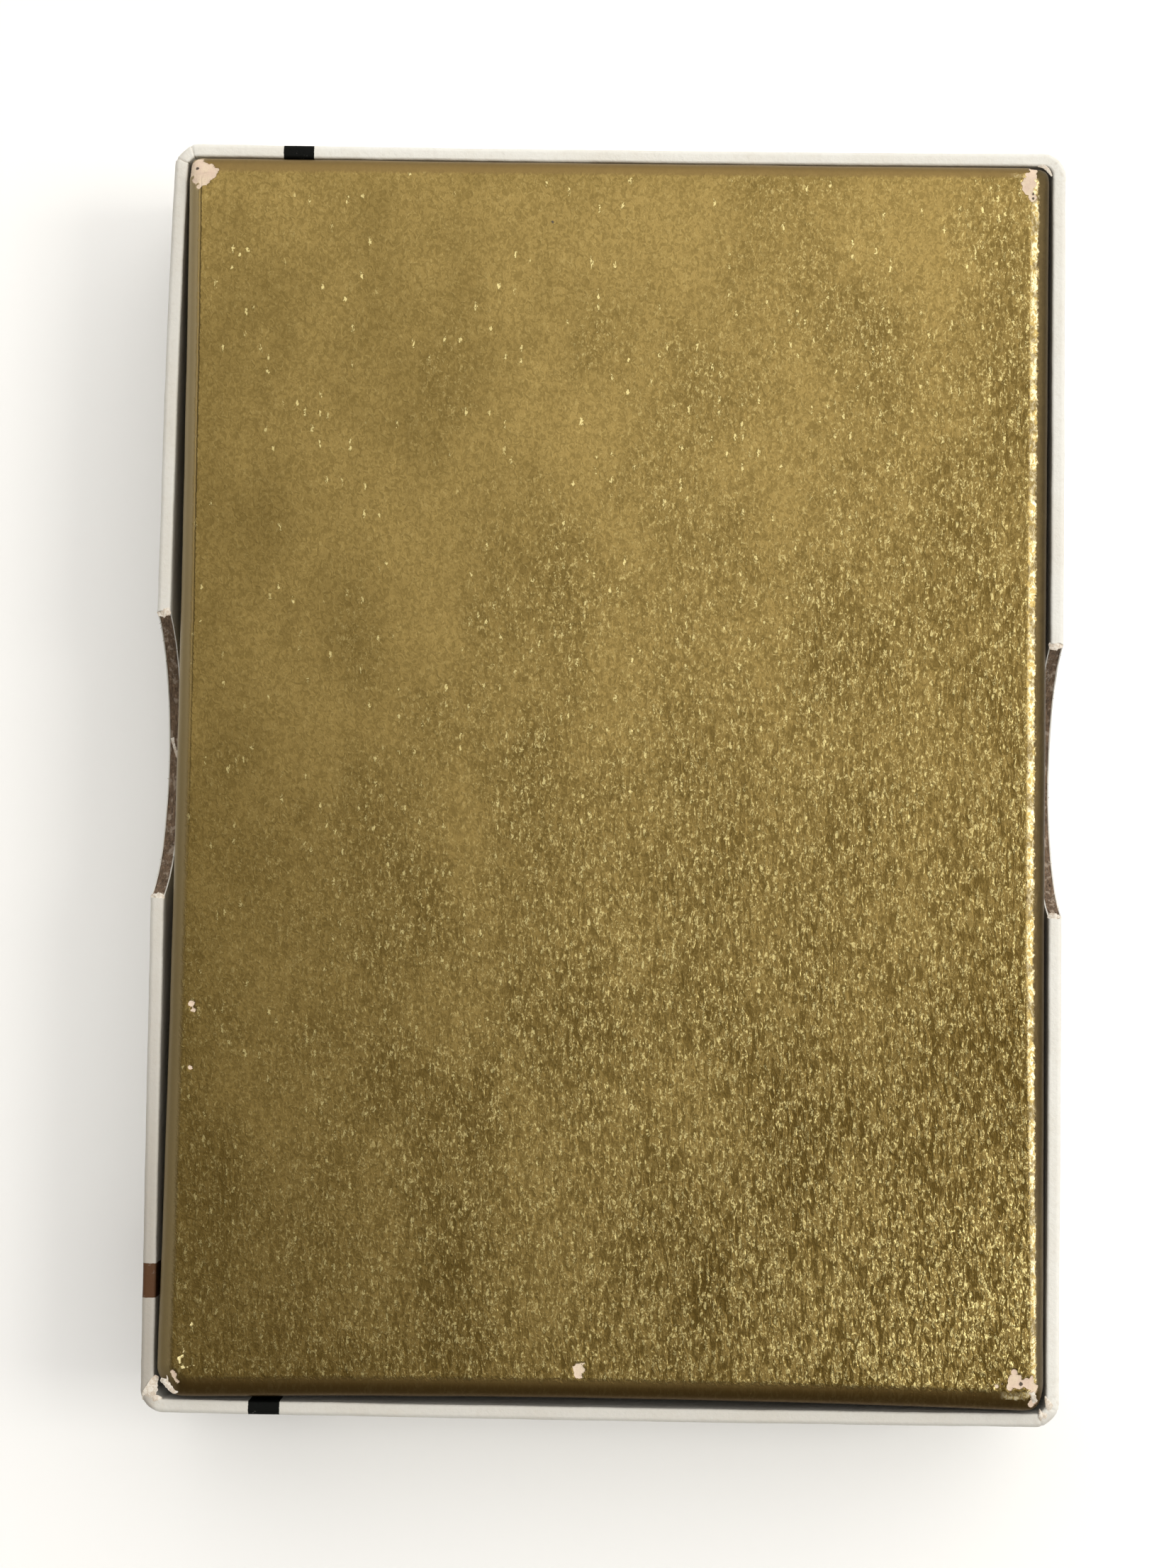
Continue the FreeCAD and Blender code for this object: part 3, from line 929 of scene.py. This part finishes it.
def fibre_tree(name):
    """Geometry nodes that scatter bent fibres over a surface."""
    tree = bpy.data.node_groups.new(name, "GeometryNodeTree")
    sockets = {}
    for label, kind, default in (
            ("Surface", "NodeSocketGeometry", None), ("Density", "NodeSocketFloat", 1.0e7),
            ("Length", "NodeSocketFloat", 0.0004), ("Thickness", "NodeSocketFloat", 0.00002),
            ("Seed", "NodeSocketInt", 1), ("Material", "NodeSocketMaterial", None)):
        socket = tree.interface.new_socket(label, in_out="INPUT", socket_type=kind)
        if default is not None:
            socket.default_value = default
        sockets[label] = socket.identifier
    tree.interface.new_socket("Fibres", in_out="OUTPUT", socket_type="NodeSocketGeometry")

    def add(kind, settings=None, inputs=None):
        return add_node(tree, kind, settings, inputs)

    given = add("NodeGroupInput")
    half_length = add("ShaderNodeMath", {"operation": "MULTIPLY"}, {0: given.outputs["Length"], 1: 0.5})
    bend = add("ShaderNodeMath", {"operation": "MULTIPLY"}, {0: given.outputs["Length"], 1: 0.35})
    start = add("ShaderNodeCombineXYZ", None, {"X": 0.0})
    middle = add("ShaderNodeCombineXYZ", None, {"X": half_length.outputs[0], "Z": bend.outputs[0]})
    end = add("ShaderNodeCombineXYZ", None, {"X": given.outputs["Length"], "Y": bend.outputs[0]})
    curve = add("GeometryNodeCurveQuadraticBezier", None, {
        "Resolution": 4, "Start": start.outputs[0], "Middle": middle.outputs[0], "End": end.outputs[0]})
    ring = add("GeometryNodeCurvePrimitiveCircle", None, {
        "Resolution": 3, "Radius": given.outputs["Thickness"]})
    hair = add("GeometryNodeCurveToMesh", None, {
        "Curve": curve.outputs[0], "Profile Curve": ring.outputs[0], "Fill Caps": True})
    scatter = add("GeometryNodeDistributePointsOnFaces", {"distribute_method": "RANDOM"}, {
        "Mesh": given.outputs["Surface"], "Density": given.outputs["Density"], "Seed": given.outputs["Seed"]})
    spin = add("FunctionNodeRandomValue", {"data_type": "FLOAT_VECTOR"}, {
        "Min": (-0.9, -1.0, 0.0), "Max": (0.9, 0.5, 6.28), "Seed": given.outputs["Seed"]})
    turned = add("FunctionNodeRotateEuler", {"space": "LOCAL"}, {
        "Rotation": scatter.outputs["Rotation"], "Rotate By": spin.outputs[0]})
    size = add("FunctionNodeRandomValue", {"data_type": "FLOAT"}, {
        2: 0.35, 3: 1.3, "Seed": given.outputs["Seed"]})
    placed = add("GeometryNodeInstanceOnPoints", None, {
        "Points": scatter.outputs["Points"], "Instance": hair.outputs[0],
        "Rotation": turned.outputs[0], "Scale": size.outputs[1]})
    real = add("GeometryNodeRealizeInstances", None, {"Geometry": placed.outputs[0]})
    dressed = add("GeometryNodeSetMaterial", None, {
        "Geometry": real.outputs[0], "Material": given.outputs["Material"]})
    add("NodeGroupOutput", None, {"Fibres": dressed.outputs[0]})
    return tree, sockets


def scattered(name, surface, inputs):
    """The plain mesh that the fibre nodes make on a surface."""
    tree, sockets = fibre_tree(name + "_nodes")
    carrier = bpy.data.objects.new(name + "_carrier", surface)
    bpy.context.scene.collection.objects.link(carrier)
    grown = carrier.modifiers.new("fibres", "NODES")
    grown.node_group = tree
    for label, value in inputs.items():
        grown[sockets[label]] = value
    graph = bpy.context.evaluated_depsgraph_get()
    mesh = bpy.data.meshes.new_from_object(carrier.evaluated_get(graph), depsgraph=graph)
    carrier.modifiers.remove(grown)
    bpy.data.objects.remove(carrier)
    bpy.data.node_groups.remove(tree)
    return mesh


def cut_face(half, notch, sign):
    """The narrow curved face that a punch leaves on the board, as an open strip that carries fibres."""
    size, shift = notch.side(sign)
    centre_z = half.height - notch.depth + size
    reach = math.acos((size - notch.depth) / size) * 0.97
    points = []
    rows = 60
    outer = half.half_width - half.sheets.paper
    inner = half.half_width - half.wall + half.sheets.paper
    for i in range(rows + 1):
        angle = -reach + 2 * reach * i / rows
        for x in (inner, outer):
            y = shift + size * math.sin(angle)
            z = centre_z - size * math.cos(angle)
            points.append(half.settle(Vector((sign * x, y, z))) * MM)
    faces = []
    for i in range(rows):
        a = 2 * i
        face = (a, a + 1, a + 3, a + 2)
        faces.append(face if sign < 0 else tuple(reversed(face)))
    mesh = bpy.data.meshes.new("cut_face")
    mesh.from_pydata([tuple(p) for p in points], [], faces)
    return mesh


# ---------------------------------------------------------------- operators

class CARDBOX_OT_tray_cover(bpy.types.Operator):
    """Makes the tray's gold cover paper, with its rolled folds and worn places"""
    bl_idname = "cardbox.tray_cover"
    bl_label = "Tray cover paper"

    def execute(self, context):
        half = Half("tray", context.scene.card_box_sheets)
        s = half.sheets
        outline = Outline(
            half, 3.4, 0.14, 1.6, 16,
            spots_x=((-2.4, -0.6), (0.6, 2.4)),
            spots_y=((-23.0, -22.2), (-18.7, -17.2), (17.2, 18.7), (22.2, 23.0)))
        coarse = spread(half.half_width, 5.6, 2.2)
        panel = coarse + spread(5.6, s.fold, 0.14)
        rows, outside = wrap_section(half, panel, 14, 1.6, 5, s.rim)

        def shaped(mark, inset, depth, point):
            if depth > 1.2:
                return 0.0, {"inset": 0.0}
            bare = inside_by(point.x, point.y, WORN, 0.16)
            scratch = inside_by(point.x, point.y, SCRATCHES, 0.10)
            hole = inside_by(point.x, point.y, HOLES, 0.06)
            deep = s.worn_depth * max(0.0, min(1.0, (bare + 0.03) / 0.09))
            lip = 0.03 * max(0.0, 1 - abs(bare + 0.10) / 0.09) if bare > -0.3 else 0.0
            return lip - deep - 0.03, {"inset": inset, "bare": bare, "scratch": scratch, "hole": hole}

        labels = ("inset", "bare", "scratch", "hole")
        points, faces, values = wrapped(half, outline, rows, outside, labels, shaped)
        mesh = closed_mesh("tray_cover_paper", points, faces, values)
        papers = [painted("gold_paper")]
        finished("tray_cover_paper", mesh, papers, "tray", ("tray_wrap",))
        return {"FINISHED"}


class CARDBOX_OT_lid_cover(bpy.types.Operator):
    """Makes the lid's white cover paper, with creased corners and both thumb notches"""
    bl_idname = "cardbox.lid_cover"
    bl_label = "Lid cover paper"

    def execute(self, context):
        half = Half("lid", context.scene.card_box_sheets)
        s = half.sheets
        outline = Outline(half, 2.4, 0.16, 1.3, 26)
        coarse = spread(half.half_width, 6.0, 2.6)
        panel = coarse + spread(6.0, s.fold, 0.7)
        rows, outside = wrap_section(half, panel, 9, 1.2, 9, 0.24)

        def shaped(mark, inset, depth, point):
            (cx, cy), _, turn = mark
            offset = -0.022 * (1 + noise.noise(point * 0.8)) - 0.010 * (1 + noise.noise(point * 2.6))
            crease = -9.0
            if turn is not None and inset < outline.radius:
                which = corner_index(cx, cy)
                first, second, force = CREASES[which]
                force *= half.near_rim(depth)
                for bend, deep in ((first, 0.10), (second, 0.085)):
                    bend += 5 * noise.noise(Vector((depth * 0.5, inset * 2, which)))
                    offset -= force * deep * math.exp(-((turn - bend) / 2.6) ** 2)
                    crease = max(crease, force - abs(turn - bend) / 3.4)
            return offset, {"crease": crease}

        points, faces, values = wrapped(half, outline, rows, outside, ("crease",), shaped)
        whole = closed_mesh("lid_cover_paper", points, faces, values)
        mesh = cut_away(whole, punches(half, context.scene.card_box_notch, 0.0, 3.0))
        papers = [painted("white_paper")]
        finished("lid_cover_paper", mesh, papers, "lid", ("lid_wrap",))
        return {"FINISHED"}


class CARDBOX_OT_boards(bpy.types.Operator):
    """Makes both chipboard blanks, settled like their papers, with the notches' raw cut faces"""
    bl_idname = "cardbox.boards"
    bl_label = "Board blanks"

    def execute(self, context):
        scene = context.scene
        lid = Half("lid", scene.card_box_sheets)
        tray = Half("tray", scene.card_box_sheets)
        blank = cut_away(settled_copy("lid_board", lid), punches(lid, scene.card_box_notch, 0.03, 8.0))
        finished("lid_board_blank", blank, [painted("raw_board")], "lid", ("lid_board",), 35)
        blank = settled_copy("tray_board", tray)
        finished("tray_board_blank", blank, [painted("raw_board")], "tray", ("tray_board",), 35)
        return {"FINISHED"}


class CARDBOX_OT_stays(bpy.types.Operator):
    """Makes the eight gummed paper stays that hold the corners"""
    bl_idname = "cardbox.stays"
    bl_label = "Corner stays"

    def execute(self, context):
        for body in ("lid", "tray"):
            half = Half(body, context.scene.card_box_sheets)
            for side in ("left_near", "left_far", "right_near", "right_far"):
                node = "%s_corner_stay_%s" % (body, side)
                mesh = settled_copy(node, half, 1.0)
                name = "%s_stay_%s" % (body, side)
                finished(name, mesh, [painted("kraft_paper")], body, (node,))
        return {"FINISHED"}


class CARDBOX_OT_notch_fibres(bpy.types.Operator):
    """Scatters the loose fibres of the board's cut faces in both notches"""
    bl_idname = "cardbox.notch_fibres"
    bl_label = "Notch fibres"

    def execute(self, context):
        notch = context.scene.card_box_notch
        half = Half("lid", context.scene.card_box_sheets)
        for side, sign in (("left", -1), ("right", 1)):
            mesh = scattered("%s_notch_fibres" % side, cut_face(half, notch, sign), {
                "Density": notch.fibres / MM ** 2, "Length": 0.26 * MM, "Thickness": 0.016 * MM,
                "Seed": 5 if sign < 0 else 9, "Material": painted("raw_board")})
            if not len(mesh.polygons):
                raise RuntimeError("the %s notch has no fibres" % side)
            for vertex in mesh.vertices:
                vertex.co = half.kept_in(vertex.co / MM) * MM
            finished("%s_notch_fibres" % side, mesh, [painted("raw_board")], "lid")
        return {"FINISHED"}


class CARDBOX_OT_torn_paper(bpy.types.Operator):
    """Makes the slivers and flakes of torn paper at the corners and in the left notch"""
    bl_idname = "cardbox.torn_paper"
    bl_label = "Torn paper"

    def execute(self, context):
        for body, flakes, slot in (
                ("lid", LID_FLAKES, "white_cover_paper"), ("tray", TRAY_FLAKES, "gold_cover_paper")):
            points, faces = joined([ribbon(*flake) for flake in flakes])
            mesh = closed_mesh(body + "_torn_paper", points, faces)
            finished(body + "_torn_paper", mesh, [painted("torn_paper")], body)
        return {"FINISHED"}


class CARDBOX_OT_stage(bpy.types.Operator):
    """Lays the floor, hangs the lights and sets up the camera"""
    bl_idname = "cardbox.stage"
    bl_label = "Stage"

    def execute(self, context):
        scene = context.scene
        stage = scene.card_box_stage
        mesh = bpy.data.meshes.new("floor")
        reach = 3.0
        level = -0.00001
        mesh.from_pydata(
            [(-reach, -reach, level), (reach, -reach, level), (reach, reach, level), (-reach, reach, level)],
            [], [(0, 1, 2, 3)])
        mesh.materials.append(floor_paint(tuple(stage.floor)))
        floor = bpy.data.objects.new("floor", mesh)
        scene.collection.objects.link(floor)
        place = (0.44, 0.02, 0.62)
        self.light(scene, "key_light", place, (0.20, 0.26), (0.0, 0.0, 0.0), stage.key, (1.0, 0.97, 0.90))
        scene.world = self.surroundings(stage.air)
        scene.view_settings.view_transform = "Standard"
        camera = bpy.data.cameras.new("camera")
        camera.lens = stage.lens
        camera.clip_start = 0.01
        view = bpy.data.objects.new("camera", camera)
        view.location = (0.00091, -0.01257, 0.23454)
        view.rotation_euler = (math.radians(3.183), math.radians(0.583), math.radians(0.863))
        scene.collection.objects.link(view)
        scene.camera = view
        return {"FINISHED"}

    def surroundings(self, strength):
        """A soft studio room, brighter towards its far right and above, and dim towards its near left."""
        world = bpy.data.worlds.new("surroundings")
        world.use_nodes = True
        tree = world.node_tree
        heading = add_node(tree, "ShaderNodeTexCoord")
        facing = add_node(tree, "ShaderNodeVectorMath", {"operation": "DOT_PRODUCT"}, {
            0: heading.outputs["Generated"], 1: Vector((0.30, 0.52, 0.80)).normalized()})
        fall = add_node(tree, "ShaderNodeMapRange", {"interpolation_type": "SMOOTHSTEP"}, {
            "Value": facing.outputs["Value"], "From Min": 0.38, "From Max": 0.95,
            "To Min": 0.16 * strength, "To Max": strength})
        air = tree.nodes["Background"]
        air.inputs["Color"].default_value = (1.0, 0.975, 0.93, 1.0)
        tree.links.new(fall.outputs[0], air.inputs["Strength"])
        return world

    def light(self, scene, name, place, size, aim, power, tint):
        """Hangs one soft light that faces its aim."""
        lamp = bpy.data.lights.new(name, "AREA")
        lamp.shape = "RECTANGLE"
        lamp.size, lamp.size_y = size
        lamp.energy = power
        lamp.color = tint
        hung = bpy.data.objects.new(name, lamp)
        hung.location = place
        hung.rotation_euler = (Vector(aim) - Vector(place)).to_track_quat("-Z", "Y").to_euler()
        scene.collection.objects.link(hung)


class CARDBOX_PT_panel(bpy.types.Panel):
    """Lists the box's pieces in the sidebar"""
    bl_idname = "CARDBOX_PT_panel"
    bl_label = "Card box"
    bl_space_type = "VIEW_3D"
    bl_region_type = "UI"
    bl_category = "Card box"

    def draw(self, context):
        for operator in STEPS:
            self.layout.operator(operator.bl_idname)


SETTINGS = {
    "card_box_sheets": CardBoxSheets,
    "card_box_notch": CardBoxNotch,
    "card_box_finish": CardBoxFinish,
    "card_box_stage": CardBoxStage,
}
STEPS = (
    CARDBOX_OT_stage,
    CARDBOX_OT_tray_cover,
    CARDBOX_OT_lid_cover,
    CARDBOX_OT_boards,
    CARDBOX_OT_stays,
    CARDBOX_OT_notch_fibres,
    CARDBOX_OT_torn_paper,
)


def register():
    """Makes the settings, operators and panel known to Blender."""
    for name, group in SETTINGS.items():
        bpy.utils.register_class(group)
        setattr(bpy.types.Scene, name, bpy.props.PointerProperty(type=group))
    for operator in STEPS:
        bpy.utils.register_class(operator)
    bpy.utils.register_class(CARDBOX_PT_panel)


def unregister():
    """Takes the panel, operators and settings away again."""
    bpy.utils.unregister_class(CARDBOX_PT_panel)
    for operator in reversed(STEPS):
        bpy.utils.unregister_class(operator)
    for name, group in reversed(SETTINGS.items()):
        delattr(bpy.types.Scene, name)
        bpy.utils.unregister_class(group)


def main():
    register()
    for operator in STEPS:
        group, name = operator.bl_idname.split(".")
        getattr(getattr(bpy.ops, group), name)()


if __name__ == "__main__":
    main()
